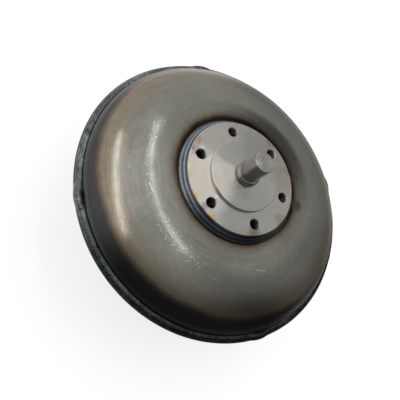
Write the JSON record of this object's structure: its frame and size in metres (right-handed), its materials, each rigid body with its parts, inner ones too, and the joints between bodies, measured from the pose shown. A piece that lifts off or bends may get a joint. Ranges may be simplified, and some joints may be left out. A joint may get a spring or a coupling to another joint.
{
  "type": "torque converter",
  "caption": "Welded torque converter: domed front cover, drive flange with tapped holes, spigot and pilot pin, pump shell with slotted hub, and turbine, stator and one-way clutch inside.",
  "frame": {"origin": "centre of the pump hub's free end, on the axis", "axes": "+Z along the axis from the gearbox side to the engine side, towards the pilot pin; +X through one of the six tapped holes and through the drive slots"},
  "size_m": [0.301, 0.3012, 0.18],
  "materials": {
    "stamped_steel": "bare stamped steel, satin, finely brushed round the axis",
    "turned_steel": "turned steel with fine tool marks and heat tints at the weld",
    "weld_bead": "rippled weld bead, blue-grey oxide",
    "blade_steel": "brazed sheet steel",
    "hard_steel": "ground and hardened steel",
    "spring_steel": "blued spring steel",
    "cast_aluminium": "die-cast aluminium, matt",
    "bronze": "sintered bronze"
  },
  "bodies": {
    "housing": {"front_cover": "stamped_steel", "drive_flange": "turned_steel", "flange_weld": "weld_bead", "pilot_bush": "bronze", "pump_shell": "stamped_steel", "closure_weld": "weld_bead", "impeller_blade_ring": "blade_steel", "pump_hub": "turned_steel", "hub_weld": "weld_bead", "rear_bearing_pump_race": "hard_steel"},
    "turbine": {"turbine_shell": "blade_steel", "turbine_blade_ring": "blade_steel", "turbine_hub": "turned_steel", "turbine_rivet_1": "hard_steel", "turbine_rivet_2": "hard_steel", "turbine_rivet_3": "hard_steel", "turbine_rivet_4": "hard_steel", "turbine_rivet_5": "hard_steel", "turbine_rivet_6": "hard_steel", "turbine_rivet_7": "hard_steel", "turbine_rivet_8": "hard_steel", "front_thrust_washer": "bronze", "middle_bearing_turbine_race": "hard_steel"},
    "stator": {"stator_wheel": "cast_aluminium", "clutch_outer_race": "hard_steel", "clutch_spring_1": "spring_steel", "clutch_spring_2": "spring_steel", "clutch_spring_3": "spring_steel", "clutch_spring_4": "spring_steel", "clutch_spring_5": "spring_steel", "clutch_spring_6": "spring_steel", "clutch_spring_7": "spring_steel", "clutch_spring_8": "spring_steel", "clutch_rear_plate": "hard_steel", "clutch_front_plate": "hard_steel", "clutch_snap_ring": "spring_steel", "middle_bearing_stator_race": "hard_steel", "rear_bearing_stator_race": "hard_steel"},
    "inner_race": {"clutch_inner_race": "hard_steel"},
    "roller_1": {"clutch_roller_1": "hard_steel"},
    "roller_2": {"clutch_roller_2": "hard_steel"},
    "roller_3": {"clutch_roller_3": "hard_steel"},
    "roller_4": {"clutch_roller_4": "hard_steel"},
    "roller_5": {"clutch_roller_5": "hard_steel"},
    "roller_6": {"clutch_roller_6": "hard_steel"},
    "roller_7": {"clutch_roller_7": "hard_steel"},
    "roller_8": {"clutch_roller_8": "hard_steel"},
    "middle_needles": {"middle_bearing_needle_cage": "hard_steel"},
    "rear_needles": {"rear_bearing_needle_cage": "hard_steel"}
  },
  "joints": [
    {"name": "turbine_spin", "type": "hinge", "parent": "housing", "child": "turbine", "pos_m": [0, 0, 0.113], "axis": [0, 0, 1], "continuous": true},
    {"name": "stator_spin", "type": "hinge", "parent": "housing", "child": "stator", "pos_m": [0, 0, 0.093], "axis": [0, 0, 1], "continuous": true},
    {"name": "freewheel_spin", "type": "hinge", "parent": "stator", "child": "inner_race", "pos_m": [0, 0, 0.0923], "axis": [0, 0, 1], "continuous": true},
    {"name": "roller_1_spin", "type": "hinge", "parent": "stator", "child": "roller_1", "pos_m": [0.03115, 0, 0.0923], "axis": [0, 0, 1], "continuous": true},
    {"name": "roller_2_spin", "type": "hinge", "parent": "stator", "child": "roller_2", "pos_m": [0.02203, 0.02203, 0.0923], "axis": [0, 0, 1], "continuous": true},
    {"name": "roller_3_spin", "type": "hinge", "parent": "stator", "child": "roller_3", "pos_m": [0, 0.03115, 0.0923], "axis": [0, 0, 1], "continuous": true},
    {"name": "roller_4_spin", "type": "hinge", "parent": "stator", "child": "roller_4", "pos_m": [-0.02203, 0.02203, 0.0923], "axis": [0, 0, 1], "continuous": true},
    {"name": "roller_5_spin", "type": "hinge", "parent": "stator", "child": "roller_5", "pos_m": [-0.03115, 0, 0.0923], "axis": [0, 0, 1], "continuous": true},
    {"name": "roller_6_spin", "type": "hinge", "parent": "stator", "child": "roller_6", "pos_m": [-0.02203, -0.02203, 0.0923], "axis": [0, 0, 1], "continuous": true},
    {"name": "roller_7_spin", "type": "hinge", "parent": "stator", "child": "roller_7", "pos_m": [0, -0.03115, 0.0923], "axis": [0, 0, 1], "continuous": true},
    {"name": "roller_8_spin", "type": "hinge", "parent": "stator", "child": "roller_8", "pos_m": [0.02203, -0.02203, 0.0923], "axis": [0, 0, 1], "continuous": true},
    {"name": "middle_needles_spin", "type": "hinge", "parent": "housing", "child": "middle_needles", "pos_m": [0, 0, 0.10405], "axis": [0, 0, 1], "continuous": true},
    {"name": "rear_needles_spin", "type": "hinge", "parent": "housing", "child": "rear_needles", "pos_m": [0, 0, 0.08055], "axis": [0, 0, 1], "continuous": true}
  ],
  "couplings": [
    {"joint": "roller_1_spin", "follows": "freewheel_spin", "ratio": -6.75},
    {"joint": "roller_2_spin", "follows": "freewheel_spin", "ratio": -6.75},
    {"joint": "roller_3_spin", "follows": "freewheel_spin", "ratio": -6.75},
    {"joint": "roller_4_spin", "follows": "freewheel_spin", "ratio": -6.75},
    {"joint": "roller_5_spin", "follows": "freewheel_spin", "ratio": -6.75},
    {"joint": "roller_6_spin", "follows": "freewheel_spin", "ratio": -6.75},
    {"joint": "roller_7_spin", "follows": "freewheel_spin", "ratio": -6.75},
    {"joint": "roller_8_spin", "follows": "freewheel_spin", "ratio": -6.75},
    {"joint": "middle_needles_spin", "follows": "turbine_spin", "ratio": 0.5},
    {"joint": "rear_needles_spin", "follows": "stator_spin", "ratio": 0.5}
  ]
}
